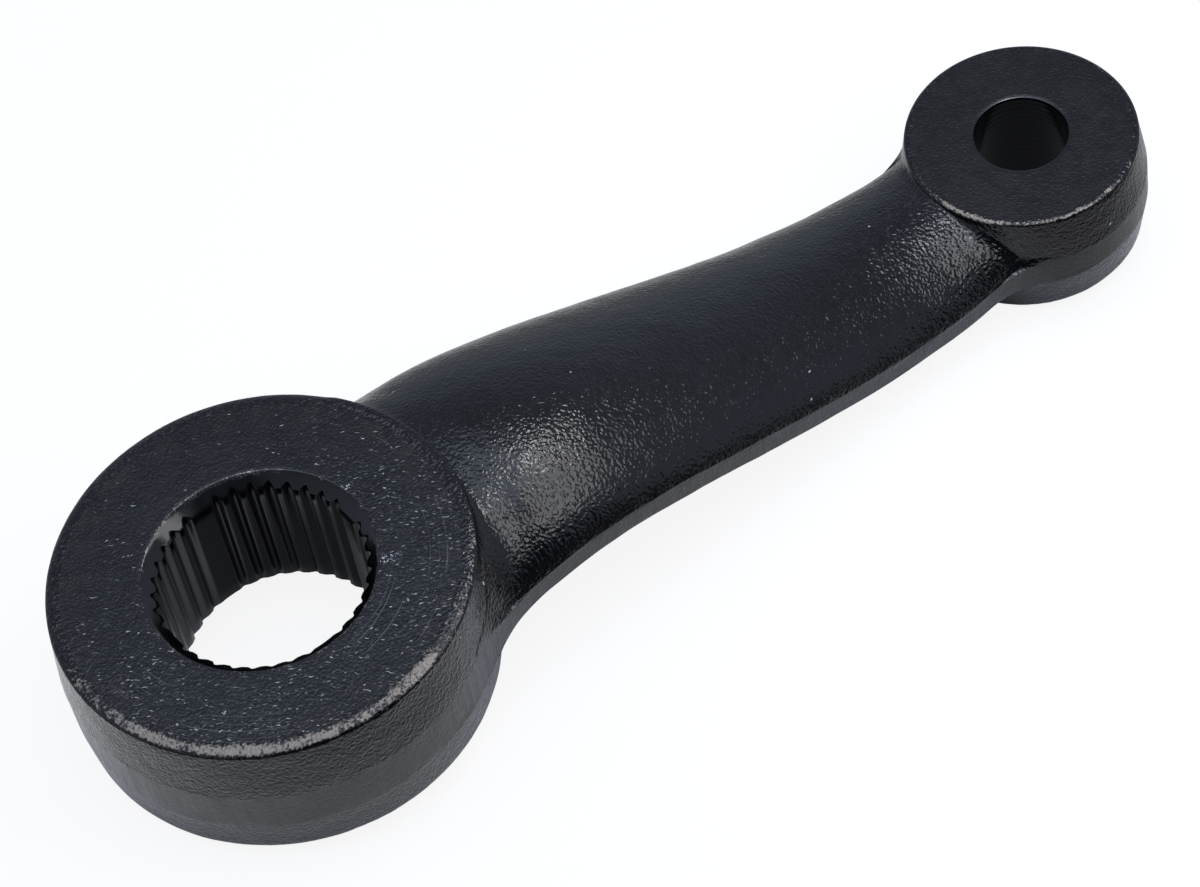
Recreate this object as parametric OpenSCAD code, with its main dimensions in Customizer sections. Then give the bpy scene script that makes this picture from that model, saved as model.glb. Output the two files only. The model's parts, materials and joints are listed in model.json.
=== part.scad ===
// Dropped pitman arm: one forging with two machined bosses joined by an S-shaped arm.
// The forging parts along a line at mid depth, where the trimmed flash leaves an upright band.
// Frame: origin on the shaft axis at mid thickness of the shaft boss, +X to the ball stud eye, +Z up.

/* [Shaft boss] */
// Diameter of the shaft boss at its flash band
shaft_boss_d = 64.8; // [60:0.2:80]
// Thickness of the shaft boss between its machined faces
shaft_boss_h = 25.4; // [23:0.2:34]
// Depth of the parting line below the upper face of the shaft boss
shaft_parting = 14; // [11:0.5:15]
// Height of the flash band round the shaft boss
shaft_band_h = 7.6; // [5:0.2:9]
// Width of the rounding along the upper rim of the shaft boss
shaft_rim_w = 2.2; // [0.6:0.1:5]
// Height of the rounding along the upper rim of the shaft boss
shaft_rim_h = 0.8; // [0.5:0.1:3]
// Rounding of the lower rim of the shaft boss
shaft_low_rim_r = 1.8; // [0.6:0.1:4]
// Draft of the forged wall of the shaft boss above and below its band
shaft_draft = 5; // [1:0.5:8]

/* [Serrated bore] */
// Diameter across the roots of the serration grooves
serration_root_d = 32.3; // [26:0.1:36]
// Depth of a groove from tooth tip to root
groove_depth = 0.8; // [0.5:0.05:1.1]
// Angle between the two flanks of a groove
groove_angle = 84; // [70:1:95]
// Width of the flat at the root of a groove
groove_root_w = 0.3; // [0.1:0.05:0.5]
// Number of tooth positions round the bore
tooth_positions = 36; // [24:4:40]
// Number of wide blind teeth that index the arm
blind_teeth = 4; // [2:2:4]
// Radial width of the upper entry chamfer outside the groove roots
chamfer_w = 1.3; // [0.4:0.05:2.5]
// Radial width of the lower entry chamfer outside the groove roots
low_chamfer_w = 0.5; // [0.2:0.05:2.5]
// Slope of both entry chamfers from the face
chamfer_angle = 44; // [20:1:50]

/* [Ball stud eye] */
// Diameter of the eye boss at its flash band
eye_boss_d = 39.8; // [36:0.2:50]
// Thickness of the eye boss between its machined faces
eye_boss_h = 21.2; // [19:0.2:30]
// Depth of the parting line below the upper face of the eye boss
eye_parting = 11; // [9:0.5:13]
// Height of the flash band round the eye boss
eye_band_h = 5.4; // [3:0.2:7]
// Width of the rounding along the upper rim of the eye boss
eye_rim_w = 0.9; // [0.4:0.1:3]
// Height of the rounding along the upper rim of the eye boss
eye_rim_h = 0.5; // [0.4:0.1:2.4]
// Rounding of the lower rim of the eye boss
eye_low_rim_r = 1.6; // [0.4:0.1:3]
// Draft of the forged wall of the eye boss above and below its band
eye_draft = 8.5; // [1:0.5:10]
// Diameter of the tapered hole at the upper face
taper_small_d = 15; // [12:0.1:18]
// Length in which the tapered hole opens by one unit of diameter
taper_length_per_unit = 8; // [6:0.5:16]
// Width of the broken edge at both ends of the tapered hole
hole_edge = 0.25; // [0.1:0.05:0.8]

/* [Arm] */
// Distance between the shaft axis and the eye axis
arm_length = 146; // [130:1:190]
// Drop from the upper shaft face to the upper eye face
arm_drop = 25.4; // [0:0.2:40]
// Distance from the shaft axis to the start of the drop
drop_start = 36.5; // [30:0.5:45]
// Distance from the eye axis to the end of the drop
drop_end = 20; // [14:0.5:35]
// Lead of the drop: below 1 the arm falls sooner, above 1 later
drop_lead = 0.9; // [0.7:0.05:1.2]
// Width of the arm at the start of the drop
arm_w_shaft = 44; // [36:0.5:50]
// Width of the arm at the end of the drop
arm_w_eye = 30.2; // [25:0.2:35]
// Height of the flash band along the arm
arm_band_h = 3.6; // [2.5:0.1:4.4]
// Depth of the arm's crown below the upper shaft face
crown_step_shaft = 0.9; // [0.8:0.1:4]
// Depth of the arm's crown below the upper eye face
crown_step_eye = 0.6; // [0.5:0.1:3]
// Height of the arm's keel above the lower shaft face
keel_step_shaft = 2.6; // [0.8:0.1:4]
// Height of the arm's keel above the lower eye face
keel_step_eye = 3.2; // [0.8:0.1:5]
// Radius in plan where the arm's edge runs into the shaft boss
plan_r_shaft = 38; // [20:1:60]
// Radius in plan where the arm's edge runs into the eye boss
plan_r_eye = 20; // [8:0.5:30]
// Largest fillet between the arm and the wall of the shaft boss
fillet_shaft = 5; // [1:0.5:8]
// Largest fillet between the arm and the wall of the eye boss
fillet_eye = 2.5; // [0.5:0.5:5]
// Part of a half ellipse that the crown and the keel take up before the band cuts them off
section_share = 0.97; // [0.8:0.01:1]

/* [Hidden] */
$fn = 96;
// How far the arm runs into each boss, how far its edge starts inside the band and how high it may rise
arm_sink = 4;
edge_sink = 0.4;
face_margin = 0.5;
band_margin = 0.2;
// Blend of the crown into the shelf that the plan radii leave beside it, as a part of the crown's height
shelf_blend = 0.25;
// How quickly that blend grows where the plan widens beyond the crown
shelf_growth = 2;
// How slowly the fillets run out towards the band
fillet_fade = 0.25;
// Length over which the band grows to the height of a boss's band
band_run = 11;
// How fast the bow of the end stations fades towards mid length
bow_fade_shaft = 1.5;
bow_fade_eye = 2;
// Oversize of cuts past the faces
cut = 1;
// Facets of a rim, of each plan radius, of the straight edge and across the arm
rim_steps = 6;
plan_steps_shaft = 14;
plan_steps_eye = 10;
edge_steps = 20;
across_steps = 20;

shaft_r = shaft_boss_d / 2;
eye_r = eye_boss_d / 2;
shaft_top = shaft_boss_h / 2;
eye_top = shaft_top - arm_drop;
shaft_parting_z = shaft_top - shaft_parting;
eye_parting_z = eye_top - eye_parting;
root_r = serration_root_d / 2;
tip_r = root_r - groove_depth;
drop_stop = arm_length - drop_end;

// Edge of the arm in plan: a straight line from one drop end to the other, rounded into both bosses
edge_slope = (arm_w_eye - arm_w_shaft) / 2 / (drop_stop - drop_start);
edge_angle = atan(edge_slope);
edge_w0 = arm_w_shaft / 2 - edge_slope * drop_start;
shaft_edge_r = shaft_r - edge_sink;
eye_edge_r = eye_r - edge_sink;

function lerp(a, b, t) = a + (b - a) * t;
function clamp01(t) = min(1, max(0, t));
function ease(t) = t * t * (3 - 2 * t);
function drop_share(x) = pow(clamp01((x - drop_start) / (drop_stop - drop_start)), drop_lead);
function turn(p, a) = [p.x * cos(a) - p.y * sin(a), p.x * sin(a) + p.y * cos(a)];
function arc(c, r, a0, a1, n) = [for (i = [0 : n]) let (a = lerp(a0, a1, i / n)) c + r * [cos(a), sin(a)]];

// Gap along the edge line from a boss axis to the centre of the plan radius that touches boss and line
function plan_reach(boss_r, r, off) = sqrt(pow(boss_r + r, 2) - pow(off + r, 2));

// One edge of the arm from the shaft boss to the eye boss, as [distance along X, half width]
edge = let (
        off_shaft = edge_w0 * cos(edge_angle),
        off_eye = off_shaft + arm_length * sin(edge_angle),
        reach_shaft = plan_reach(shaft_edge_r, plan_r_shaft, off_shaft),
        reach_eye = plan_reach(eye_edge_r, plan_r_eye, off_eye),
        along_eye = arm_length * cos(edge_angle) - reach_eye,
        c_shaft = [reach_shaft, off_shaft + plan_r_shaft],
        c_eye = [along_eye, off_shaft + plan_r_eye],
        a_shaft = atan2(-c_shaft.y, -reach_shaft),
        a_eye = atan2(-(off_eye + plan_r_eye), reach_eye),
        into_shaft = arc(c_shaft, plan_r_shaft, a_shaft, -90, plan_steps_shaft),
        straight = [for (i = [1 : edge_steps - 1]) [lerp(reach_shaft, along_eye, i / edge_steps), off_shaft]],
        into_eye = arc(c_eye, plan_r_eye, -90, a_eye, plan_steps_eye)
    ) [for (p = concat(into_shaft, straight, into_eye)) turn(p, edge_angle)];
stations = len(edge);
first = edge[0];
last = edge[stations - 1];

// Bow of the end stations, so that they lie concentric with the bosses
function bow(r, half_w, t) = sqrt(r * r - pow(t * half_w, 2)) - sqrt(r * r - half_w * half_w);
function bow_share_shaft(p) = pow(clamp01(1 - (p.x - first.x) / (arm_length / 2 - first.x)), bow_fade_shaft);
function bow_share_eye(p) = pow(clamp01(1 - (last.x - p.x) / (last.x - arm_length / 2)), bow_fade_eye);

// Point of a station at t = -1 to 1 across the arm
function plan_point(p, t) = [
    p.x + bow_share_shaft(p) * bow(shaft_edge_r, first.y, t) - bow_share_eye(p) * bow(eye_edge_r, last.y, t),
    t * p.y
];
function toward(c, p, d) = p + d * (c - p) / norm(c - p);

// Heights of the arm: parting line, half height of the band, crown and keel at mid width
function parting_z(x) = lerp(shaft_parting_z, eye_parting_z, ease(drop_share(x)));
function band_half(x) = let (
        near_shaft = ease(clamp01(1 - (x - first.x) / band_run)),
        near_eye = ease(clamp01(1 - (last.x - x) / band_run))
    ) arm_band_h / 2 + near_shaft * max(0, (shaft_band_h - arm_band_h) / 2 - band_margin)
      + near_eye * max(0, (eye_band_h - arm_band_h) / 2 - band_margin);
function crown_h(x) = lerp(shaft_parting - crown_step_shaft, eye_parting - crown_step_eye, drop_share(x));
function keel_h(x) = lerp(shaft_boss_h - shaft_parting - keel_step_shaft,
                          eye_boss_h - eye_parting - keel_step_eye, drop_share(x));

// Section of the arm across its width: a cut ellipse as wide as the straight edge, then a low shelf
function crown_w(p) = min(p.y, edge_w0 + edge_slope * p.x);
function soft_floor(a, k) = k <= 0 ? max(a, 0) : max(a, 0) + pow(max(k - abs(a), 0), 2) / k / 4;
function section(p, t) = let (
        over = p.y / crown_w(p),
        cut_h = sqrt(1 - pow(section_share, 2)),
        whole = sqrt(max(0, 1 - pow(section_share * t * over, 2)))
    ) soft_floor((whole - cut_h) / (1 - cut_h), min(shelf_blend, shelf_growth * (over - 1)));

// Fillet against a boss wall: r is limited by the room below the face, d is the distance from the wall
function fillet(r, d) = d >= r ? 0 : d <= 0 ? r : r - sqrt(r * r - pow(r - d, 2));
function wall_fillet(h, t, reach, face, band_edge, boss_r, draft, r) = let (
        room = face - face_margin - h,
        kept = min(r * pow(1 - t * t, fillet_fade), room)
    ) kept <= 0 ? 0 : fillet(kept, reach - boss_r + max(0, h + kept - band_edge) * tan(draft));

// Height of the arm's skin away from the frame's XY plane, above it for side 1 and below it for side -1
function skin_h(side, q, p, t) = let (
        crown = side > 0 ? crown_h(q.x) : keel_h(q.x),
        h = side * parting_z(q.x) + band_half(p.x) + (crown - band_half(p.x)) * section(p, t),
        shaft_face = shaft_boss_h / 2,
        eye_face = side > 0 ? eye_top : eye_boss_h - eye_top,
        shaft_edge = side * shaft_parting_z + shaft_band_h / 2,
        eye_edge = side * eye_parting_z + eye_band_h / 2
    ) h + wall_fillet(h, t, norm(q), shaft_face, shaft_edge, shaft_r, shaft_draft, fillet_shaft)
        + wall_fillet(h, t, norm(q - [arm_length, 0]), eye_face, eye_edge, eye_r, eye_draft, fillet_eye);

// Stations of the arm from inside the shaft boss to inside the eye boss, each a row of plan points
across = [for (i = [0 : across_steps]) -cos(180 * i / across_steps)];
rows = concat(
    [[for (t = across) toward([0, 0], plan_point(first, t), arm_sink)]],
    [for (p = edge) [for (t = across) plan_point(p, t)]],
    [[for (t = across) toward([arm_length, 0], plan_point(last, t), arm_sink)]]
);
row_edge = concat([first], edge, [last]);

// Closed skin of the arm: crown and keel grids, the two bands between them and the two buried ends
module arm_skin() {
    n = across_steps + 1;
    m = stations + 2;
    top = [for (j = [0 : m - 1]) for (i = [0 : n - 1])
        let (q = rows[j][i]) [q.x, q.y, skin_h(1, q, row_edge[j], across[i])]];
    bottom = [for (j = [0 : m - 1]) for (i = [0 : n - 1])
        let (q = rows[j][i]) [q.x, q.y, -skin_h(-1, q, row_edge[j], across[i])]];
    k = m * n;
    crown = [for (j = [0 : m - 2]) for (i = [0 : n - 2]) let (a = j * n + i)
        each [[a, a + n + 1, a + n], [a, a + 1, a + n + 1]]];
    keel = [for (j = [0 : m - 2]) for (i = [0 : n - 2]) let (a = k + j * n + i)
        each [[a, a + n, a + n + 1], [a, a + n + 1, a + 1]]];
    near_band = [for (j = [0 : m - 2]) let (a = j * n) each [[a, a + n, k + a + n], [a, k + a + n, k + a]]];
    far_band = [for (j = [0 : m - 2]) let (a = j * n + n - 1)
        each [[a, k + a + n, a + n], [a, k + a, k + a + n]]];
    shaft_end = [for (i = [0 : n - 2]) each [[i, k + i, k + i + 1], [i, k + i + 1, i + 1]]];
    eye_end = [for (i = [0 : n - 2]) let (a = (m - 1) * n + i)
        each [[a, k + a + 1, k + a], [a, a + 1, k + a + 1]]];
    polyhedron(points = concat(top, bottom),
               faces = concat(crown, keel, near_band, far_band, shaft_end, eye_end));
}

// Quarter of an ellipse from a drafted wall to a face, w wide and h high, turned by side
function rim(c, w, h, draft, side) = let (start = atan(tan(draft) * h / w))
    [for (i = [0 : rim_steps]) let (a = lerp(start, 90, i / rim_steps)) c + [w * cos(a), side * h * sin(a)]];

// Gap from the band's radius to the centre of a rim on a wall that rises rise above the band
function rim_inset(rise, w, h, draft) = let (start = atan(tan(draft) * h / w))
    (rise - h * (1 - sin(start))) * tan(draft) + w * cos(start);

// Half section of a drafted boss standing on its lower face, as [radius, height]
function boss_section(r, h, parting, band_h, rim_w, rim_h, low_rim_r, draft) = let (
        band_top = h - parting + band_h / 2,
        band_low = h - parting - band_h / 2,
        upper_c = [r - rim_inset(h - band_top, rim_w, rim_h, draft), h - rim_h],
        lower_c = [r - rim_inset(band_low, low_rim_r, low_rim_r, draft), low_rim_r],
        lower = rim(lower_c, low_rim_r, low_rim_r, draft, -1)
    ) concat(
        [[0, 0]],
        [for (i = [rim_steps : -1 : 0]) lower[i]],
        [[r, band_low], [r, band_top]],
        rim(upper_c, rim_w, rim_h, draft, 1),
        [[0, h]]
    );

module boss(r, h, parting, band_h, rim_w, rim_h, low_rim_r, draft)
    rotate_extrude() polygon(boss_section(r, h, parting, band_h, rim_w, rim_h, low_rim_r, draft));

// One serration groove, cut outward along +X from inside the tooth tips
module groove() {
    inside_r = tip_r - groove_depth / 2;
    half_root = groove_root_w / 2;
    mouth = half_root + (root_r - inside_r) * tan(groove_angle / 2);
    polygon([[inside_r, -mouth], [root_r, -half_root], [root_r, half_root], [inside_r, mouth]]);
}

// Bore with a groove at every tooth position except the blind ones
module serrated_bore() {
    positions_per_blind = round(tooth_positions / blind_teeth);
    translate([0, 0, -shaft_boss_h / 2 - cut])
        linear_extrude(height = shaft_boss_h + 2 * cut)
            union() {
                circle(r = tip_r);
                for (i = [0 : tooth_positions - 1])
                    if (i % positions_per_blind != 0)
                        rotate(i * 360 / tooth_positions) groove();
            }
}

// Conical entry of the bore on its upper face, w wide outside the groove roots
module entry_chamfer(w) {
    inside_r = tip_r - groove_depth;
    h = (root_r + w - inside_r) * tan(chamfer_angle);
    translate([0, 0, shaft_top - h])
        cylinder(h = h + cut, r1 = inside_r, r2 = root_r + w + cut / tan(chamfer_angle));
}

// Tapered hole for the ball stud, wider at the lower face, with broken edges
module tapered_hole() {
    h = eye_boss_h + 2 * cut;
    small_r = (taper_small_d - cut / taper_length_per_unit) / 2;
    large_r = small_r + h / taper_length_per_unit / 2;
    upper_r = taper_small_d / 2;
    lower_r = upper_r + eye_boss_h / taper_length_per_unit / 2;
    translate([arm_length, 0, eye_top - eye_boss_h - cut]) cylinder(h = h, r1 = large_r, r2 = small_r);
    translate([arm_length, 0, eye_top - hole_edge])
        cylinder(h = hole_edge + cut, r1 = upper_r, r2 = upper_r + hole_edge + cut);
    translate([arm_length, 0, eye_top - eye_boss_h - cut])
        cylinder(h = hole_edge + cut, r1 = lower_r + hole_edge + cut, r2 = lower_r);
}

module pitman_arm() {
    color("#34363c")
        difference() {
            union() {
                translate([0, 0, -shaft_boss_h / 2])
                    boss(shaft_r, shaft_boss_h, shaft_parting, shaft_band_h,
                         shaft_rim_w, shaft_rim_h, shaft_low_rim_r, shaft_draft);
                translate([arm_length, 0, eye_top - eye_boss_h])
                    boss(eye_r, eye_boss_h, eye_parting, eye_band_h,
                         eye_rim_w, eye_rim_h, eye_low_rim_r, eye_draft);
                arm_skin();
            }
            serrated_bore();
            entry_chamfer(chamfer_w);
            mirror([0, 0, 1]) entry_chamfer(low_chamfer_w);
            tapered_hole();
        }
}

pitman_arm();
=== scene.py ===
import json
import math

import bmesh
import bpy
import numpy as np
from mathutils import Matrix, Vector, noise


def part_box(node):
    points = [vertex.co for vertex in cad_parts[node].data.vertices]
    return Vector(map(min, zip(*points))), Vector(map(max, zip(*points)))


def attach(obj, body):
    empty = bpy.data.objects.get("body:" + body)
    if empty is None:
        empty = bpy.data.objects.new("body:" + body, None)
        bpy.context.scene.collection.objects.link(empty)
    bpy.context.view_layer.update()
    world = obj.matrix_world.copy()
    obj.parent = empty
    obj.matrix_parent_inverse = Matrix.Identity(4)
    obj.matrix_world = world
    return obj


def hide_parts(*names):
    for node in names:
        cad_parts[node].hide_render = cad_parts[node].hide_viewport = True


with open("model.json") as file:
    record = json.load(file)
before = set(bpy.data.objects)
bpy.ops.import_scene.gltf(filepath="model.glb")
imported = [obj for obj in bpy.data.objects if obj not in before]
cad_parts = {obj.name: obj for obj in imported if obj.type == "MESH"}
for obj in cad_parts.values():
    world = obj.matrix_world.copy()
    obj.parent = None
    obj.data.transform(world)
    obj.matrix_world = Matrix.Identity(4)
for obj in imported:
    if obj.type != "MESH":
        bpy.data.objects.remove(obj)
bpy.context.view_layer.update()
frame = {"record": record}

scene = bpy.context.scene
mm = 0.001
mounts = {m["name"]: m for m in frame["record"]["mounts"]}
boxLow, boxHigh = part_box("pitman_arm")


def mountAt(name, axis):
    return mounts[name]["pos_m"][axis] / mm


# sizes are millimetres; the faces, axes and outer radii come from the frame
shaftBoss = {
    "x": mountAt("sector_shaft_bore", 0), "towardArm": 1,
    "radius": -boxLow.x / mm,
    "top": mountAt("shaft_face_upper", 2), "bottom": mountAt("shaft_face_lower", 2),
    "parting": 14.0,        # depth of the parting line below the upper face
    "band": 7.6,            # height of the trimmed flash
    "rim": {1: (2.2, 0.8), -1: (1.8, 1.8)},     # width and height of the rounding, above and below
    "draft": 5.0,
    "fillet": 5.0, "blend": 1.8, "blendRun": 1.2,
    # the last two give the strength of the rim strip of wear and painted highlight, and the side in degrees
    # where it is strongest
    "planRadius": 38.0, "rubbed": 1.0, "rubbedSide": 240.0,
    "points": {1: 48, -1: 36},
    "lines": 200,
}
eyeBoss = {
    "x": mountAt("ball_stud_taper", 0), "towardArm": -1,
    "radius": boxHigh.x / mm - mountAt("ball_stud_taper", 0),
    "top": mountAt("eye_face_upper", 2), "bottom": mountAt("eye_face_lower", 2),
    "parting": 11.0,
    "band": 5.4,
    "rim": {1: (0.9, 0.5), -1: (1.6, 1.6)},
    "draft": 8.5,
    "fillet": 2.5, "blend": 0.5, "blendRun": 1.2,
    # the last two give the strength of the eye's rim strip of wear and painted highlight, and the side in
    # degrees where it is strongest
    "planRadius": 20.0, "rubbed": 0.80, "rubbedSide": 228.0,
    "points": {1: 40, -1: 30},
    "lines": 100,
}
armBody = {
    "dropStart": 36.5, "dropEnd": 20.0,         # from the shaft axis and from the eye axis
    "dropLead": 0.9,
    "widthShaft": 44.0, "widthEye": 30.2,
    "band": 3.6, "bandRun": 11.0,
    "crownStep": (0.9, 0.6),                    # below the upper faces, shaft end and eye end
    "keelStep": (2.6, 3.2),                     # above the lower faces
    "sectionShare": 0.97, "shelfBlend": 0.25, "shelfGrowth": 2.0,
    "bowFade": (1.5, 2.0),                      # how fast the rows straighten away from each boss
    "faceMargin": 0.5, "filletFade": 0.25,
    "across": 96, "rowsShaft": 44, "rowsStraight": 84, "rowsEye": 24,
    "bandRows": 8,
}
serratedBore = {
    "tipRadius": mounts["sector_shaft_bore"]["dims"]["r_mm"],
    "grooveDepth": 0.8, "flankAngle": 42.0, "rootWidth": 0.3,
    "positions": 36, "perBlind": 9, "samples": 16,
    "cornerRound": 0.14, "collar": 0.8,         # width of the first ring of the face
    "chamfer": {1: 1.3, -1: 0.5}, "chamferAngle": 44.0, "edgeRound": 0.16,
    "chamferRows": (0.25, 0.5, 0.75, 0.93), "wallRows": 8,
    "wear": (0.3, 1.0, 0.5),                    # rim wear of the first rows from each face
}
studTaper = {
    "upperRadius": 7.5, "widening": 1 / 16,     # radius gained for each millimetre down
    "edge": 0.25, "edgeBend": 0.3, "collar": 0.6,
    "ringPitch": 1.25, "ringDepth": 0.025, "rowsPerRing": 3,
}
forgeSkin = {
    "broad": (0.10, 9.0), "middle": (0.045, 3.0),   # height and size of the swells left by the die
    "rimChips": (0.12, 1.3),
    "shear": (0.05, 2.2),
    "flashWander": (0.28, 11.0),
    "shearStretch": 0.12, "skinDepth": 1.2,         # the swells reach full height this far below a face
    "sharpAngle": 34.0, "flatWithin": 0.004,
}
rimWearAndSheen = {
    "width": 0.6, "lead": 0.3, "depth": (1.75, 2.6),    # where it lies on the rounding of a rim
    "least": 0.1, "sector": (0.2, 0.7),                 # wear and painted highlight: least on the far side, growing towards the side facing the camera and lamps
}
sectionSteps = {"face": 40, "rim": 40, "wall": 200}     # points of a boss section before it is resampled


def ease(t):
    t = np.clip(t, 0, 1)
    return t * t * (3 - 2 * t)


def lerp(a, b, t):
    return a + (b - a) * t


def smoothMax(a, b, k):
    h = np.maximum(k - np.abs(a - b), 0) / np.maximum(k, 1e-6)
    return np.maximum(a, b) + h * h * k / 4


def arcPoints(centre, radius, start, stop, count):
    a = np.radians(np.linspace(start, stop, count + 1))
    return np.column_stack([centre[0] + radius * np.cos(a), centre[1] + radius * np.sin(a)])


def wander(points, height, size, seed):
    return height * np.array([noise.noise(Vector(p / size) + Vector((seed, 0, 0))) for p in points])


for boss in (shaftBoss, eyeBoss):
    boss["partingZ"] = boss["top"] - boss["parting"]
    boss["face"] = {1: boss["top"], -1: boss["bottom"]}
    boss["bandEdge"] = {s: boss["partingZ"] + s * boss["band"] / 2 for s in (1, -1)}

armLength = eyeBoss["x"] - shaftBoss["x"]
dropStop = armLength - armBody["dropEnd"]
edgeSlope = (armBody["widthEye"] - armBody["widthShaft"]) / 2 / (dropStop - armBody["dropStart"])
edgeStart = armBody["widthShaft"] / 2 - edgeSlope * armBody["dropStart"]    # half width at the shaft axis


# plan edge of the arm: tangent to the shaft boss, straight, tangent to the eye boss
def planEdge():
    shaftR, eyeR = shaftBoss["radius"], eyeBoss["radius"]
    shaftPlan, eyePlan = shaftBoss["planRadius"], eyeBoss["planRadius"]
    turn = math.atan(edgeSlope)
    offShaft = edgeStart * math.cos(turn)
    offEye = offShaft + armLength * math.sin(turn)
    reachShaft = math.sqrt((shaftR + shaftPlan) ** 2 - (offShaft + shaftPlan) ** 2)
    reachEye = math.sqrt((eyeR + eyePlan) ** 2 - (offEye + eyePlan) ** 2)
    alongEye = armLength * math.cos(turn) - reachEye
    startShaft = math.degrees(math.atan2(-(offShaft + shaftPlan), -reachShaft))
    stopEye = math.degrees(math.atan2(-(offEye + eyePlan), reachEye))
    centreShaft, centreEye = (reachShaft, offShaft + shaftPlan), (alongEye, offShaft + eyePlan)
    intoShaft = arcPoints(centreShaft, shaftPlan, startShaft, -90, armBody["rowsShaft"])
    intoEye = arcPoints(centreEye, eyePlan, -90, stopEye, armBody["rowsEye"])
    along = np.linspace(reachShaft, alongEye, armBody["rowsStraight"] + 1)[1:-1]
    straight = np.column_stack([along, np.full(len(along), offShaft)])
    line = np.vstack([intoShaft, straight, intoEye])
    c, s = math.cos(turn), math.sin(turn)
    return np.column_stack([line[:, 0] * c - line[:, 1] * s, line[:, 0] * s + line[:, 1] * c])


edge = planEdge()
across = -np.cos(np.linspace(0, math.pi, armBody["across"] + 1))
shaftBoss["halfWidth"], eyeBoss["halfWidth"] = edge[0, 1], edge[-1, 1]
shaftBoss["stationX"], eyeBoss["stationX"] = edge[0, 0], edge[-1, 0]


def bow(boss, t):
    r, w = boss["radius"], boss["halfWidth"]
    return np.sqrt(r * r - (t * w) ** 2) - math.sqrt(r * r - w * w)


# plan points of every row, bowed round the bosses at both ends
def armPlan():
    x, half = edge[:, :1], edge[:, 1:]
    t = across[None, :]
    middle = armLength / 2
    shaftShare = np.clip(1 - (x - edge[0, 0]) / (middle - edge[0, 0]), 0, 1) ** armBody["bowFade"][0]
    eyeShare = np.clip(1 - (edge[-1, 0] - x) / (edge[-1, 0] - middle), 0, 1) ** armBody["bowFade"][1]
    return x + shaftShare * bow(shaftBoss, t) - eyeShare * bow(eyeBoss, t), half * t


def dropShare(x):
    start = armBody["dropStart"]
    return np.clip((x - start) / (dropStop - start), 0, 1) ** armBody["dropLead"]


def partingZ(x):
    return lerp(shaftBoss["partingZ"], eyeBoss["partingZ"], ease(dropShare(x)))


def bandHalf(stationX):
    nearShaft = ease(1 - (stationX - edge[0, 0]) / armBody["bandRun"])
    nearEye = ease(1 - (edge[-1, 0] - stationX) / armBody["bandRun"])
    grown = nearShaft * (shaftBoss["band"] - armBody["band"]) / 2
    return armBody["band"] / 2 + grown + nearEye * (eyeBoss["band"] - armBody["band"]) / 2


# a cut ellipse as wide as the straight edge, then a low shelf where the plan widens into a boss
def crossSection(stationX, stationHalf, t):
    over = stationHalf / np.minimum(stationHalf, edgeStart + edgeSlope * stationX)
    share = armBody["sectionShare"]
    cutHeight = math.sqrt(1 - share * share)
    whole = np.sqrt(np.maximum(1 - (share * t * over) ** 2, 0))
    soft = np.minimum(armBody["shelfBlend"], armBody["shelfGrowth"] * (over - 1))
    return smoothMax((whole - cutHeight) / (1 - cutHeight), 0.0, soft)


# height of the arm's skin, with fillets up the walls of both bosses; side is 1 above and -1 below
def armHeight(side, x, y, stationX, stationHalf, t):
    steps = armBody["crownStep"] if side > 0 else armBody["keelStep"]
    reach = [side * (b["face"][side] - b["partingZ"]) - s for b, s in zip((shaftBoss, eyeBoss), steps)]
    half = bandHalf(stationX)
    crown = lerp(reach[0], reach[1], dropShare(x))
    z = side * partingZ(x) + half + (crown - half) * crossSection(stationX, stationHalf, t)
    fade = np.maximum(1 - t * t, 0) ** armBody["filletFade"]
    for boss in (shaftBoss, eyeBoss):
        room = side * boss["face"][side] - z - armBody["faceMargin"]
        r = np.clip(np.minimum(boss["fillet"] * fade, room), 1e-6, None)
        above = np.maximum(z + r - side * boss["bandEdge"][side], 0)
        wall = boss["radius"] - above * math.tan(math.radians(boss["draft"]))
        d = np.clip(np.hypot(x - boss["x"], y) - wall, 0, r)
        z = z + r - np.sqrt(r * r - (r - d) ** 2)
    return side * z


# dense half section of a boss, face first, as radius and height
def bossSection(boss, side, inner):
    width, height = boss["rim"][side]
    lean = math.tan(math.radians(boss["draft"]))
    face, bandEdge = side * boss["face"][side], side * boss["bandEdge"][side]
    start = math.atan(lean * height / width)
    rise = face - height * (1 - math.sin(start)) - bandEdge
    flat = boss["radius"] - rise * lean - width * math.cos(start)
    quarter = arcPoints((0, 0), 1.0, 90, math.degrees(start), sectionSteps["rim"])
    rimArc = quarter * (width, height) + (flat, face - height)
    faceLine = np.linspace((inner, face), (flat, face), sectionSteps["face"])[:-1]
    wall = np.linspace(rimArc[-1], (boss["radius"], bandEdge), sectionSteps["wall"])[1:]
    boss.setdefault("flat", {})[side] = flat
    return np.vstack([faceLine, rimArc, wall])


# even steps along a section, closer together where it turns
def resample(section, count, turnWeight=3.0):
    step = np.diff(section, axis=0)
    length = np.hypot(step[:, 0], step[:, 1])
    heading = np.unwrap(np.arctan2(step[:, 1], step[:, 0]))
    turning = np.abs(np.diff(heading, prepend=heading[0]))
    travel = np.concatenate([[0], np.cumsum(length + turnWeight * turning)])
    at = np.linspace(0, travel[-1], count)
    return np.column_stack([np.interp(at, travel, section[:, 0]), np.interp(at, travel, section[:, 1])])


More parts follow.
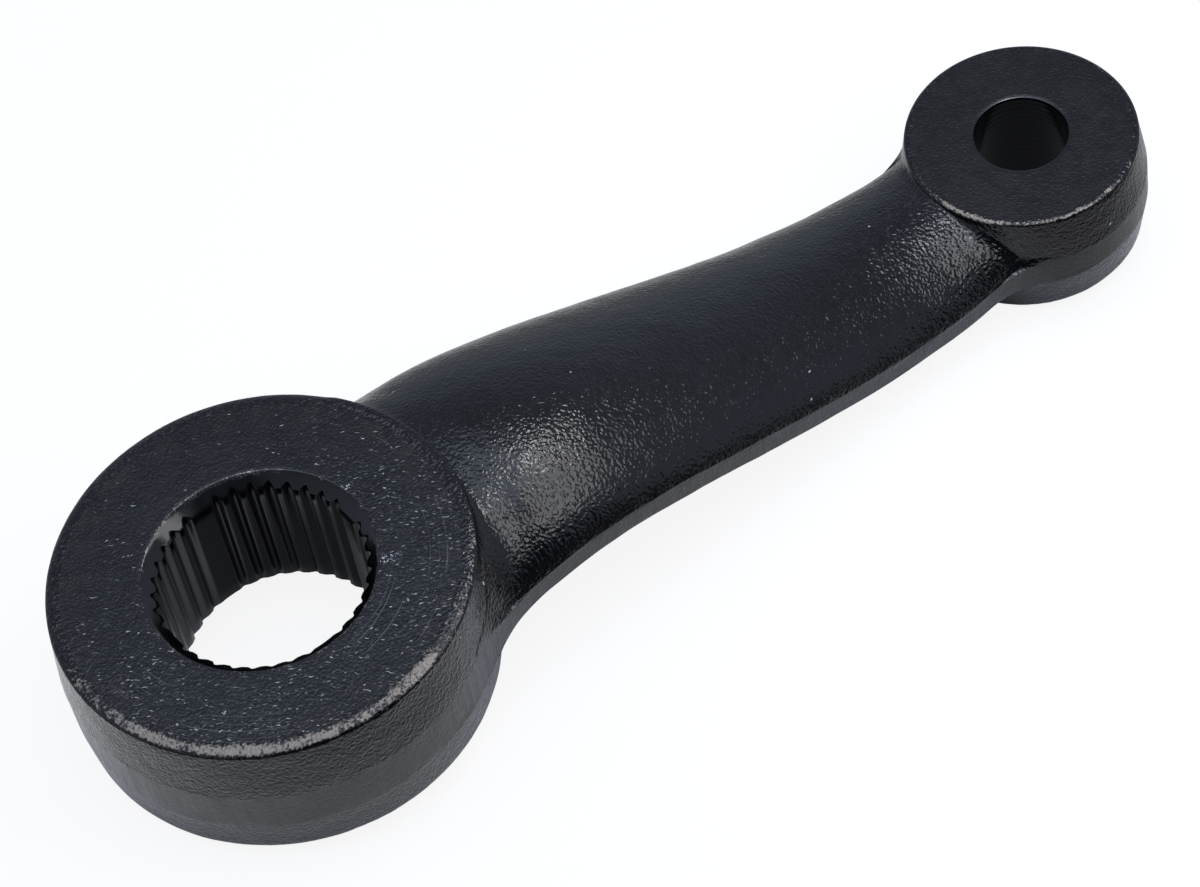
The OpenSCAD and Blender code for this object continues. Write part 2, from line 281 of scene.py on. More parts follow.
class Skin:
    def __init__(self):
        self.points, self.faces, self.zones, self.count = [], [], [], 0
        self.masks = {"rough": [], "rimEdge": [], "shear": []}

    # rough, the rim mask and shear say how much of the die's swells, rim wear with a painted highlight, and
    # shear marks a point gets
    def add(self, xyz, **masks):
        xyz = np.asarray(xyz, float)
        ids = np.arange(self.count, self.count + xyz[..., 0].size).reshape(xyz.shape[:-1])
        self.points.append(xyz.reshape(-1, 3))
        for name, kept in self.masks.items():
            kept.append(np.broadcast_to(masks.get(name, 0.0), ids.shape).ravel())
        self.count += ids.size
        return ids

    def grid(self, ids, zone, flip=False, closed=False):
        if closed:
            ids = np.vstack([ids, ids[:1]])
        a, b, c, d = ids[:-1, :-1], ids[1:, :-1], ids[1:, 1:], ids[:-1, 1:]
        quads = np.stack([a, d, c, b] if flip else [a, b, c, d], axis=-1).reshape(-1, 4)
        self.faces += quads.tolist()
        self.zones += [zone] * len(quads)

    # triangles between two rings of different counts, both sorted by angle
    def bridge(self, inner, innerAngle, outer, outerAngle, zone, flip=False):
        i = j = 0
        n, m = len(inner), len(outer)
        while i < n or j < m:
            nextInner = innerAngle[(i + 1) % n] + (2 * math.pi if i + 1 >= n else 0)
            nextOuter = outerAngle[(j + 1) % m] + (2 * math.pi if j + 1 >= m else 0)
            a, b = inner[i % n], outer[j % m]
            if j >= m or (i < n and nextInner < nextOuter):
                i += 1
                tri = [a, b, inner[i % n]]
            else:
                j += 1
                tri = [a, b, outer[j % m]]
            self.faces.append(tri[::-1] if flip else tri)
            self.zones.append(zone)


forged, faced, flash, broached, reamed = range(5)
skin = Skin()


# lines run outward from the bore; the first ones carry on along the arm
def bossLines(boss, side, inner):
    section = bossSection(boss, side, inner)
    armAngles = np.arcsin(across * boss["halfWidth"] / boss["radius"])
    freeAngles = np.linspace(armAngles[-1], 2 * math.pi + armAngles[0], boss["lines"] + 1)[1:-1]
    angles = np.concatenate([armAngles, freeAngles])
    pastFlat = (section[:, 0] - boss["flat"][side]) / boss["blendRun"]
    blend = boss["blend"] * (1 - across[:, None] ** 2) * ease(pastFlat)
    lines = []
    for i, angle in enumerate(angles):
        line = section
        if i < len(across):
            x = boss["x"] + boss["towardArm"] * section[:, 0] * math.cos(angle)
            y = section[:, 0] * math.sin(angle)
            z = side * armHeight(side, x, y, boss["stationX"], boss["halfWidth"], across[i])
            line = np.column_stack([section[:, 0], smoothMax(section[:, 1], z, blend[i])])
        lines.append(resample(line, boss["points"][side]))
    lines = np.array(lines)
    r, z = lines[:, :, 0], lines[:, :, 1]
    depth = side * boss["face"][side] - z
    width, height = boss["rim"][side]
    # the rim strip is partly real wear and partly a painted highlight: strongest on the side facing the
    # camera and lamps, least on the far side
    over = (r - boss["flat"][side]) / (rimWearAndSheen["width"] * width) + rimWearAndSheen["lead"]
    down = rimWearAndSheen["depth"][0] - rimWearAndSheen["depth"][1] * depth / height
    onRim = ease(over) * ease(down)
    turn = np.arctan2(np.sin(angles), boss["towardArm"] * np.cos(angles))
    fromSheenSide = turn - math.radians(boss["rubbedSide"])
    begin, run = rimWearAndSheen["sector"]
    rubbed = lerp(rimWearAndSheen["least"], 1.0, ease((np.cos(fromSheenSide) - begin) / run))[:, None]
    masks = {"rough": ease(depth / forgeSkin["skinDepth"]), "rimEdge": onRim * rubbed * boss["rubbed"]}
    x = boss["x"] + boss["towardArm"] * r * np.cos(angles)[:, None]
    return angles, skin.add(np.stack([x, r * np.sin(angles)[:, None], side * z], axis=-1), **masks)


def grooveRadius(angle):
    b = serratedBore
    tip, root = b["tipRadius"], b["tipRadius"] + b["grooveDepth"]
    pitch = 2 * math.pi / b["positions"]
    index = np.rint(angle / pitch)
    delta = np.abs(angle - index * pitch)
    slope = math.tan(math.radians(b["flankAngle"]))
    flank = (b["rootWidth"] / 2 + root * slope) / (np.sin(delta) + slope * np.cos(delta))
    grooved = -smoothMax(-root / np.cos(delta), -flank, b["cornerRound"])
    return np.where(index % b["perBlind"] == 0, tip, smoothMax(grooved, tip, b["cornerRound"]))


# chamfer rows from the face inward, down to where the cone meets the grooves
def entryRows(side, grooves):
    b = serratedBore
    outer = b["tipRadius"] + b["grooveDepth"] + b["chamfer"][side]
    slope = math.tan(math.radians(b["chamferAngle"]))
    face = shaftBoss["face"][side]
    soft = b["edgeRound"]
    rows = [(np.full_like(grooves, outer + soft), np.full_like(grooves, face))]
    rows.append((np.full_like(grooves, outer + soft / 3), np.full_like(grooves, face - side * soft / 8)))
    rows.append((np.full_like(grooves, outer - soft / 2), np.full_like(grooves, face - side * soft * 0.55)))
    for share in b["chamferRows"]:
        r = lerp(outer - soft / 2, grooves, share)
        rows.append((r, face - side * (outer - r) * slope))
    rows.append((grooves, face - side * ((outer - grooves) * slope + soft / 2)))
    return rows


def buildBore():
    b = serratedBore
    angle = np.arange(b["positions"] * b["samples"]) * 2 * math.pi / (b["positions"] * b["samples"])
    grooves = grooveRadius(angle)
    upper, lower = entryRows(1, grooves), entryRows(-1, grooves)
    wall = [(grooves, lerp(upper[-1][1], lower[-1][1], k / b["wallRows"])) for k in range(1, b["wallRows"])]
    rows = upper + wall + lower[::-1]
    xyz = np.stack([np.stack([r * np.cos(angle), r * np.sin(angle), z], axis=-1) for r, z in rows], axis=1)
    worn = np.zeros(len(rows))
    worn[:3], worn[-3:] = b["wear"], b["wear"][::-1]
    ids = skin.add(xyz, rimEdge=worn[None, :])
    skin.grid(ids, broached, closed=True)
    return angle, ids[:, 0], ids[:, -1]


def buildHole(angles):
    h = studTaper
    top, bottom = eyeBoss["top"], eyeBoss["bottom"]
    lowerRadius = h["upperRadius"] + (top - bottom) * h["widening"]
    count = int((top - bottom) / h["ringPitch"] * h["rowsPerRing"])
    depth = np.linspace(h["edge"], top - bottom - h["edge"], count)
    rings = h["ringDepth"] * np.cos(2 * math.pi * depth / h["ringPitch"])
    upperRadius, soft = h["upperRadius"], h["edge"]
    bend = soft * h["edgeBend"]
    profile = [(upperRadius + soft, top), (upperRadius + bend, top - bend)]
    profile += [(upperRadius + d * h["widening"] + ring, top - d) for d, ring in zip(depth, rings)]
    profile += [(lowerRadius + bend, bottom + bend), (lowerRadius + soft, bottom)]
    r, z = np.array(profile).T
    x = eyeBoss["x"] - r * np.cos(angles)[:, None]
    ids = skin.add(np.stack([x, r * np.sin(angles)[:, None], np.broadcast_to(z, x.shape)], axis=-1))
    skin.grid(ids, reamed, flip=True, closed=True)
    return ids


planX, planY = armPlan()
boreAngle, boreTop, boreLow = buildBore()
outerIds = {}
for side, boreRing in ((1, boreTop), (-1, boreLow)):
    inner = serratedBore["tipRadius"] + serratedBore["grooveDepth"] + serratedBore["chamfer"][side]
    inner += serratedBore["collar"]
    angles, ids = bossLines(shaftBoss, side, inner)
    skin.grid(ids, forged, flip=side < 0, closed=True)
    order = np.argsort(np.mod(angles, 2 * math.pi))
    ring = ids[order, 0]
    skin.bridge(boreRing, boreAngle, ring, np.mod(angles, 2 * math.pi)[order], faced, flip=side < 0)
    outerIds["shaft", side] = ids[:, -1]

holeIds = None
for side in (1, -1):
    inner = studTaper["upperRadius"] + studTaper["edge"] + studTaper["collar"]
    if side < 0:
        inner += (eyeBoss["top"] - eyeBoss["bottom"]) * studTaper["widening"]
    angles, ids = bossLines(eyeBoss, side, inner)
    if holeIds is None:
        holeIds = buildHole(angles)
    rim = holeIds[:, 0] if side > 0 else holeIds[:, -1]
    skin.grid(np.column_stack([rim, ids]), forged, flip=side > 0, closed=True)
    outerIds["eye", side] = ids[:, -1]

armIds = {}
for side in (1, -1):
    z = armHeight(side, planX, planY, edge[:, :1], edge[:, 1:], across[None, :])
    middle = skin.add(np.stack([planX, planY, z], axis=-1)[1:-1], rough=1.0)
    n = len(across)
    rows = np.vstack([outerIds["shaft", side][None, :n], middle, outerIds["eye", side][None, :n]])
    skin.grid(rows, forged, flip=side < 0)
    armIds[side] = rows

# the trimmed flash: a closed strip between the upper and the lower skin, its edges wandering a little
outline = {}
points = np.vstack(skin.points)
for side in (1, -1):
    n = len(across)
    shaftFree, eyeFree = outerIds["shaft", side][n:], outerIds["eye", side][n:]
    loop = np.concatenate([armIds[side][:, -1], eyeFree, armIds[side][::-1, 0], shaftFree[::-1]])
    points[loop, 2] += wander(points[loop] * (1, 1, 0), *forgeSkin["flashWander"], seed=40 * side)
    outline[side] = loop
skin.points = [points]
upper, lower = points[outline[1]], points[outline[-1]]
shares = np.arange(1, armBody["bandRows"]) / armBody["bandRows"]
strip = upper[:, None, :] + (lower - upper)[:, None, :] * shares[None, :, None]
between = skin.add(strip, shear=1.0, rough=0.25)
skin.grid(np.column_stack([outline[1], between, outline[-1]]), flash, closed=True)


def buildForging():
    mesh = bpy.data.meshes.new("forging")
    points = np.vstack(skin.points)
    masks = {name: np.concatenate(kept) for name, kept in skin.masks.items()}
    mesh.from_pydata((points * mm).tolist(), [], skin.faces)
    zones = np.array(skin.zones, np.int32)
    mesh.polygons.foreach_set("material_index", zones)
    mesh.polygons.foreach_set("use_smooth", np.ones(len(zones), bool))
    bm = bmesh.new()
    bm.from_mesh(mesh)
    bmesh.ops.recalc_face_normals(bm, faces=bm.faces)
    openEdges = sum(1 for e in bm.edges if len(e.link_faces) != 2)
    bm.to_mesh(mesh)
    bm.free()
    # swells of the die, chipped rims and shear marks move the points along their normals
    normals = np.zeros(len(points) * 3, np.float32)
    mesh.vertex_normals.foreach_get("vector", normals)
    upright = points * (1, 1, forgeSkin["shearStretch"])
    swells = wander(points, *forgeSkin["broad"], seed=3) + wander(points, *forgeSkin["middle"], seed=9)
    move = masks["rough"] * swells
    move += masks["rimEdge"] * masks["rough"] * wander(points, *forgeSkin["rimChips"], seed=17)
    move += masks["shear"] * wander(upright, *forgeSkin["shear"], seed=23)
    points = points + normals.reshape(-1, 3) * move[:, None]
    mesh.vertices.foreach_set("co", (points * mm).astype(np.float32).ravel())
    centreX = np.where(points[:, 0] < armLength / 2, shaftBoss["x"], eyeBoss["x"])
    masks["axisDistance"] = np.hypot(points[:, 0] - centreX, points[:, 1])
    for name in ("rimEdge", "axisDistance"):
        values = mesh.attributes.new(name, "FLOAT", "POINT").data
        values.foreach_set("value", masks[name].astype(np.float32))
    # flat polygons of both bosses are machined
    flat = np.zeros(len(zones), bool)
    levels = [boss["face"][side] for boss in (shaftBoss, eyeBoss) for side in (1, -1)]
    for i, polygon in enumerate(mesh.polygons):
        if zones[i] == forged:
            z = points[list(polygon.vertices), 2]
            flat[i] = any(np.all(np.abs(z - level) < forgeSkin["flatWithin"]) for level in levels)
    zones[flat] = faced
    mesh.polygons.foreach_set("material_index", zones)
    mesh.set_sharp_from_angle(angle=math.radians(forgeSkin["sharpAngle"]))
    # the flash meets the skin in a crisp edge
    loops = np.vstack([np.column_stack([loop, np.roll(loop, -1)]) for loop in outline.values()])
    ends = np.zeros(len(mesh.edges) * 2, np.int32)
    mesh.edges.foreach_get("vertices", ends)
    crisp = np.zeros(len(mesh.edges), bool)
    mesh.attributes["sharp_edge"].data.foreach_get("value", crisp)
    key = (len(points), 1)
    crisp |= np.isin(np.sort(ends.reshape(-1, 2)) @ key, np.sort(loops) @ key)
    mesh.attributes["sharp_edge"].data.foreach_set("value", crisp)
    mesh.update()
    forging = bpy.data.objects.new("forging", mesh)
    scene.collection.objects.link(forging)
    print("forging:", len(points), "points,", len(zones), "faces,", openEdges, "open edges")
    return forging


forging = buildForging()


def put(tree, kind, inputs=None, **settings):
    node = tree.nodes.new("ShaderNode" + kind)
    for name, value in settings.items():
        setattr(node, name, value)
    for name, value in (inputs or {}).items():
        if isinstance(value, bpy.types.NodeSocket):
            tree.links.new(value, node.inputs[name])
        else:
            node.inputs[name].default_value = value
    return node


def calc(tree, operation, a, b=0.0, c=0.0):
    return put(tree, "Math", {0: a, 1: b, 2: c}, operation=operation).outputs[0]


def span(tree, value, low, high, toLow=0.0, toHigh=1.0):
    inputs = {"Value": value, "From Min": low, "From Max": high, "To Min": toLow, "To Max": toHigh}
    return put(tree, "MapRange", inputs, interpolation_type="SMOOTHSTEP").outputs[0]


def noiseAt(tree, point, scale, detail=2.0, roughness=0.5):
    inputs = {"Vector": point, "Scale": scale, "Detail": detail, "Roughness": roughness}
    return put(tree, "TexNoise", inputs).outputs[0]


def stretch(tree, point, factors):
    return put(tree, "VectorMath", {0: point, 1: factors}, operation="MULTIPLY").outputs[0]


def scaleBy(tree, point, factor):
    return put(tree, "VectorMath", {0: point, "Scale": factor}, operation="SCALE").outputs[0]


def mixColour(tree, share, a, b):
    return put(tree, "Mix", {0: share, 6: a, 7: b}, data_type="RGBA").outputs[2]


def newGroup(name, inputs, outputs):
    tree = bpy.data.node_groups.new(name, "ShaderNodeTree")
    for label, value in inputs.items():
        kind = "NodeSocketVector" if value is None else "NodeSocketFloat"
        socket = tree.interface.new_socket(label, in_out="INPUT", socket_type=kind)
        if value is not None:
            socket.default_value = value
    for label in outputs:
        tree.interface.new_socket(label, in_out="OUTPUT", socket_type="NodeSocketFloat")
    return tree, tree.nodes.new("NodeGroupInput").outputs, tree.nodes.new("NodeGroupOutput")


pebbleSkin = {
    "swells": 0.30, "swellShare": 1.1,
    "cells": {"Scale": 1.1, "Smoothness": 0.5}, "cellShare": -0.55,
    "wrinkles": {"Scale": 1.5, "Detail": 0.0, "Distortion": 0.4},
}


# bumps of the forge skin under the paint, in millimetres
def pebbleGroup():
    p = pebbleSkin
    tree, given, result = newGroup("pebbleSkin", {"Point": None, "Size": 1.0, "Depth": 0.02}, ["Height"])
    point = scaleBy(tree, given["Point"], calc(tree, "DIVIDE", 1.0, given["Size"]))
    swells = noiseAt(tree, point, p["swells"])
    cells = put(tree, "TexVoronoi", {"Vector": point, **p["cells"]}, feature="SMOOTH_F1").outputs[0]
    wrinkles = put(tree, "TexNoise", {"Vector": point, **p["wrinkles"]}).outputs[0]
    total = calc(tree, "MULTIPLY_ADD", swells, p["swellShare"], wrinkles)
    total = calc(tree, "MULTIPLY_ADD", cells, p["cellShare"], total)
    tree.links.new(calc(tree, "MULTIPLY", total, given["Depth"]), result.inputs["Height"])
    return tree


edgeWear = {
    "patches": 0.09, "middle": 0.45, "fine": 2.2,           # scales of the noise that breaks it up
    "patchShare": 0.7, "middleShare": 0.9, "fineShare": 1.2,
    "worn": (1.63, 1.98), "edge": (0.02, 0.2),
}


# paint rubbed through along an edge, and on the rims a painted highlight where the edge mask carries one,
# broken up by noise
def edgeWearAndSheenGroup():
    p = edgeWear
    inputs = {"Point": None, "Edge": 0.0, "Amount": 0.5, "Grain": 1.0}
    tree, given, result = newGroup("edgeWear", inputs, ["Mask"])
    patches = noiseAt(tree, given["Point"], p["patches"], 2.0, 0.6)
    grain = scaleBy(tree, given["Point"], given["Grain"])
    fine = noiseAt(tree, grain, p["fine"], 1.0, 0.6)
    middle = noiseAt(tree, grain, p["middle"], 2.0, 0.6)
    level = calc(tree, "MULTIPLY", given["Edge"], given["Amount"])
    level = calc(tree, "MULTIPLY_ADD", patches, p["patchShare"], level)
    level = calc(tree, "MULTIPLY_ADD", middle, p["middleShare"], level)
    level = calc(tree, "MULTIPLY_ADD", fine, p["fineShare"], level)
    worn = calc(tree, "MULTIPLY", span(tree, level, *p["worn"]), span(tree, given["Edge"], *p["edge"]))
    tree.links.new(worn, result.inputs["Mask"])
    return tree


# scattered pinholes and dust nibs in the paint, drawn out a little along the arm
def specksGroup():
    inputs = {"Point": None, "Spacing": 0.6, "Share": 0.3, "Radius": 0.2}
    tree, given, result = newGroup("paintSpecks", inputs, ["Mask"])
    warp = put(tree, "TexNoise", {"Vector": given["Point"], "Scale": 1.1}).outputs[1]
    point = put(tree, "VectorMath", {0: given["Point"], 1: warp}, operation="ADD").outputs[0]
    point = stretch(tree, point, (0.5, 0.9, 0.9))
    point = scaleBy(tree, point, calc(tree, "DIVIDE", 1.0, given["Spacing"]))
    cells = put(tree, "TexVoronoi", {"Vector": point, "Scale": 1.0})
    chance = put(tree, "SeparateColor", {0: cells.outputs["Color"]}).outputs
    chosen = calc(tree, "LESS_THAN", chance[0], given["Share"])
    size = calc(tree, "MULTIPLY", given["Radius"], calc(tree, "ADD", chance[1], 0.35))
    inside = calc(tree, "SUBTRACT", 1.0, calc(tree, "DIVIDE", cells.outputs["Distance"], size))
    spot = put(tree, "Clamp", {0: calc(tree, "MULTIPLY", inside, 2.5)}).outputs[0]
    tree.links.new(calc(tree, "MULTIPLY", spot, chosen), result.inputs["Mask"])
    return tree


paintDashes = {"bend": 1.7, "bendScale": 0.6, "angle": 35.0, "least": 0.13, "fewStrong": 2.5, "soft": 1.5}


# thin short dashes on a flat face, all drawn out the same way, few of them strong; in colour they are painted
# glints, in height small ridges
def glintDashesGroup():
    p = paintDashes
    inputs = {"Point": None, "Spacing": 1.0, "Share": 0.3, "Length": 0.4, "Width": 0.08}
    tree, given, result = newGroup("paintDashes", inputs, ["Mask"])
    bend = put(tree, "TexNoise", {"Vector": given["Point"], "Scale": p["bendScale"]}).outputs[1]
    bend = {0: bend, 1: (p["bend"], p["bend"], 0.0), 2: given["Point"]}
    point = put(tree, "VectorMath", bend, operation="MULTIPLY_ADD").outputs[0]
    turn = {"Vector": point, "Angle": math.radians(p["angle"])}
    point = put(tree, "VectorRotate", turn, rotation_type="Z_AXIS").outputs[0]
    point = scaleBy(tree, point, calc(tree, "DIVIDE", 1.0, given["Spacing"]))
    cells = put(tree, "TexVoronoi", {"Vector": point, "Scale": 1.0}, voronoi_dimensions="2D")
    off = put(tree, "VectorMath", {0: point, 1: cells.outputs["Position"]}, operation="SUBTRACT").outputs[0]
    off = put(tree, "SeparateXYZ", {0: scaleBy(tree, off, given["Spacing"])}).outputs
    alongIt = calc(tree, "POWER", calc(tree, "DIVIDE", off[0], given["Length"]), 2.0)
    acrossIt = calc(tree, "POWER", calc(tree, "DIVIDE", off[1], given["Width"]), 2.0)
    inside = calc(tree, "SUBTRACT", 1.0, calc(tree, "ADD", alongIt, acrossIt))
    spot = put(tree, "Clamp", {0: calc(tree, "MULTIPLY", inside, p["soft"])}).outputs[0]
    chance = put(tree, "SeparateColor", {0: cells.outputs["Color"]}).outputs
    strength = calc(tree, "POWER", chance[1], p["fewStrong"])
    strength = calc(tree, "MULTIPLY_ADD", strength, 1 - p["least"], p["least"])
    chosen = calc(tree, "LESS_THAN", chance[0], given["Share"])
    strength = calc(tree, "MULTIPLY", strength, chosen)
    tree.links.new(calc(tree, "MULTIPLY", spot, strength), result.inputs["Mask"])
    return tree


groups = {
    "pebble": pebbleGroup(), "wear": edgeWearAndSheenGroup(),
    "specks": specksGroup(), "dashes": glintDashesGroup(),
}


def useGroup(tree, name, inputs):
    return put(tree, "Group", inputs, node_tree=groups[name]).outputs[0]


def startMaterial(name):
    material = bpy.data.materials.new(name)
    material.use_nodes = True
    tree = material.node_tree
    shader = tree.nodes["Principled BSDF"]
    point = scaleBy(tree, put(tree, "TexCoord").outputs["Object"], 1 / mm)
    wearSheenMask = put(tree, "Attribute", attribute_name="rimEdge").outputs["Fac"]
    return material, tree, shader, point, wearSheenMask


def paintTone(tree, point, scale, low=0.3):
    tone = noiseAt(tree, point, scale, 3.0, 0.6)
    return mixColour(tree, span(tree, tone, low, 0.7), paint["black"], paint["thin"])


# fine grit where the paint has rubbed through
def rubbedGrit(tree, point, wearSheenMask, depth):
    grit = noiseAt(tree, point, 3.4, 2.0, 0.6)
    return calc(tree, "MULTIPLY", grit, calc(tree, "MULTIPLY", wearSheenMask, depth))


def bump(tree, shader, height):
    node = put(tree, "Bump", {"Height": height, "Distance": mm, "Strength": 1.0})
    tree.links.new(node.outputs[0], shader.inputs["Normal"])


paint = {
    "black": (0.0008, 0.0009, 0.0012, 1), "thin": (0.0020, 0.0022, 0.0029, 1),
    # bare metal also stands in for a painted highlight on the rims; dust also stands in for painted glints on
    # the shaft face
    "bare": (0.27, 0.235, 0.195, 1), "dust": (0.52, 0.53, 0.55, 1),
    "rust": (0.014, 0.010, 0.0075, 1),
}
forgedPaint = {
    "size": 0.72, "depth": 0.080, "bossDepth": 0.108, "bossFrom": 38.0, "bossTo": 32.0,
    "roughLow": 0.13, "roughHigh": 0.21, "tone": 0.14,
    "wear": 0.53, "wornMetal": 0.3, "wornRough": 0.12, "grit": 0.14,
    "nibs": {"Spacing": 1.1, "Radius": 0.14, "Share": 0.02},
}


def makeForgedPaint():
    material, tree, shader, point, wearSheenMask = startMaterial("forgedPaint")
    p = forgedPaint
    # the rims' bare colour is partly wear and partly a painted highlight
    worn = useGroup(tree, "wear", {"Point": point, "Edge": wearSheenMask, "Amount": p["wear"], "Grain": 1.0})
    nibs = useGroup(tree, "specks", {"Point": point, **p["nibs"]})
    colour = mixColour(tree, nibs, paintTone(tree, point, p["tone"], 0.35), paint["dust"])
    tree.links.new(mixColour(tree, worn, colour, paint["bare"]), shader.inputs["Base Color"])
    tree.links.new(calc(tree, "MULTIPLY", worn, p["wornMetal"]), shader.inputs["Metallic"])
    rough = span(tree, noiseAt(tree, point, 0.5, 3.0, 0.6), 0.3, 0.7, p["roughLow"], p["roughHigh"])
    rough = calc(tree, "MULTIPLY_ADD", worn, p["wornRough"], rough)
    tree.links.new(rough, shader.inputs["Roughness"])
    radius = put(tree, "Attribute", attribute_name="axisDistance").outputs["Fac"]
    depth = span(tree, radius, p["bossFrom"], p["bossTo"], p["depth"], p["bossDepth"])
    skinHeight = useGroup(tree, "pebble", {"Point": point, "Size": p["size"], "Depth": depth})
    bump(tree, shader, calc(tree, "ADD", skinHeight, rubbedGrit(tree, point, wearSheenMask, p["grit"])))
    return material


facedPaint = {
    "roughLow": 0.18, "roughHigh": 0.28, "size": 0.6, "depth": 0.034,
    "wear": 0.22, "wornMetal": 0.3, "grit": 0.12,
    "ringPitch": 0.45, "ringDepth": 0.001, "ridge": 0.012,
    "strong": {"Spacing": 0.80, "Length": 0.33, "Width": 0.075}, "strongShare": 0.68,
    "faint": {"Spacing": 0.50, "Length": 0.30, "Width": 0.07}, "faintShare": 0.85, "faintLevel": 0.13,
    "arcs": 0.22, "rustFrom": 24.0, "rustTo": 30.0, "eyeRust": 0.15,
    "rubbed": (26.0, -22.0), "leastRubbed": 0.06,           # painted glints, across the shaft face, back to front
    "eyeFrom": 60.0, "eyeTo": 90.0,                         # along the arm, where the eye's finish takes over
    "chips": (21.0, 18.6), "chipsSide": (4.0, 12.0),        # distance from the bore's axis, along the arm
}


def makeFacedPaint():
    material, tree, shader, point, wearSheenMask = startMaterial("facedPaint")
    p = facedPaint
    tone = noiseAt(tree, point, 0.10, 4.0, 0.6)
    worn = useGroup(tree, "wear", {"Point": point, "Edge": wearSheenMask, "Amount": p["wear"], "Grain": 1.0})
    # marks lie in patches, mostly on the front of the shaft face, where the dashes and the lighter turning
    # arcs are painted glints
    place = put(tree, "SeparateXYZ", {0: point}).outputs
    patches = span(tree, noiseAt(tree, point, 0.16, 3.0, 0.6), 0.36, 0.60, 0.3, 1.0)
    shaftFace = span(tree, place[0], p["eyeFrom"], p["eyeTo"], 1.0, 0.0)
    rubbed = span(tree, place[1], *p["rubbed"], p["leastRubbed"], 1.0)
    rubbed = calc(tree, "MULTIPLY", rubbed, shaftFace)
    crowd = calc(tree, "MULTIPLY", patches, rubbed)
    share = calc(tree, "MULTIPLY", crowd, p["strongShare"])
    strong = useGroup(tree, "dashes", {"Point": point, "Share": share, **p["strong"]})
    share = calc(tree, "MULTIPLY", rubbed, p["faintShare"])
    faint = useGroup(tree, "dashes", {"Point": point, "Share": share, **p["faint"]})
    dashes = calc(tree, "MAXIMUM", strong, calc(tree, "MULTIPLY", faint, p["faintLevel"]))
    radius = put(tree, "Attribute", attribute_name="axisDistance").outputs["Fac"]
    arcs = {"W": radius, "Scale": 3.6, "Detail": 2.0}
    arcs = put(tree, "TexNoise", arcs, noise_dimensions="1D").outputs[0]
    gate = span(tree, noiseAt(tree, point, 0.07, 2.0, 0.5), 0.54, 0.62)
    arcs = calc(tree, "MULTIPLY", span(tree, arcs, 0.68, 0.75), calc(tree, "MULTIPLY", gate, rubbed))
    marks = calc(tree, "MAXIMUM", dashes, calc(tree, "MULTIPLY", arcs, p["arcs"]))
    # a few chips knocked out beside the bore
    chips = calc(tree, "MULTIPLY", span(tree, noiseAt(tree, point, 0.21, 1.0, 0.5), 0.65, 0.69),
                 span(tree, noiseAt(tree, point, 2.6, 2.0, 0.6), 0.55, 0.62))
    for gate in (span(tree, radius, *p["chips"]), span(tree, place[0], *p["chipsSide"]), shaftFace):
        chips = calc(tree, "MULTIPLY", chips, gate)
    marks = calc(tree, "MAXIMUM", marks, chips)
    rust = calc(tree, "MULTIPLY", span(tree, noiseAt(tree, point, 0.32, 4.0, 0.65), 0.48, 0.62),
                span(tree, radius, p["rustFrom"], p["rustTo"]))
    rust = calc(tree, "MAXIMUM", rust, span(tree, place[0], p["eyeFrom"], p["eyeTo"], 0.0, p["eyeRust"]))
    colour = mixColour(tree, span(tree, tone, 0.3, 0.7), paint["black"], paint["thin"])
    colour = mixColour(tree, rust, colour, paint["rust"])
    # painted glints on the dashes and arcs, and the real chips beside the bore, all in the dust colour
    colour = mixColour(tree, marks, colour, paint["dust"])
    # the bare colour at the rim is partly wear and partly a painted highlight
    tree.links.new(mixColour(tree, worn, colour, paint["bare"]), shader.inputs["Base Color"])
    tree.links.new(calc(tree, "MULTIPLY", worn, p["wornMetal"]), shader.inputs["Metallic"])
    rough = span(tree, noiseAt(tree, point, 0.35, 4.0, 0.6), 0.3, 0.7, p["roughLow"], p["roughHigh"])
    tree.links.new(rough, shader.inputs["Roughness"])
    rings = calc(tree, "SINE", calc(tree, "MULTIPLY", radius, 2 * math.pi / p["ringPitch"]))
    height = calc(tree, "MULTIPLY", rings, p["ringDepth"])
    pebbles = useGroup(tree, "pebble", {"Point": point, "Size": p["size"], "Depth": p["depth"]})
    height = calc(tree, "ADD", height, pebbles)
    height = calc(tree, "ADD", height, rubbedGrit(tree, point, wearSheenMask, p["grit"]))
    bump(tree, shader, calc(tree, "MULTIPLY_ADD", dashes, p["ridge"], height))
    return material


flashPaint = {
    "roughLow": 0.20, "roughHigh": 0.32, "size": 0.9, "depth": 0.035, "tone": 0.2,
    "shear": 0.06, "shearStretch": 0.10,
}


def makeFlashPaint():
    material, tree, shader, point, _ = startMaterial("flashPaint")
    p = flashPaint
    upright = stretch(tree, point, (1.0, 1.0, p["shearStretch"]))
    marks = noiseAt(tree, upright, 1.1, 3.0, 0.6)
    tree.links.new(paintTone(tree, point, p["tone"]), shader.inputs["Base Color"])
    tree.links.new(span(tree, marks, 0.3, 0.7, p["roughLow"], p["roughHigh"]), shader.inputs["Roughness"])
    skinHeight = useGroup(tree, "pebble", {"Point": point, "Size": p["size"], "Depth": p["depth"]})
    bump(tree, shader, calc(tree, "MULTIPLY_ADD", marks, p["shear"], skinHeight))
    return material


broachedPaint = {
    "roughLow": 0.10, "roughHigh": 0.20, "broach": 0.006, "broachStretch": 0.05,
    "wear": 0.25, "wornMetal": 0.7,
}


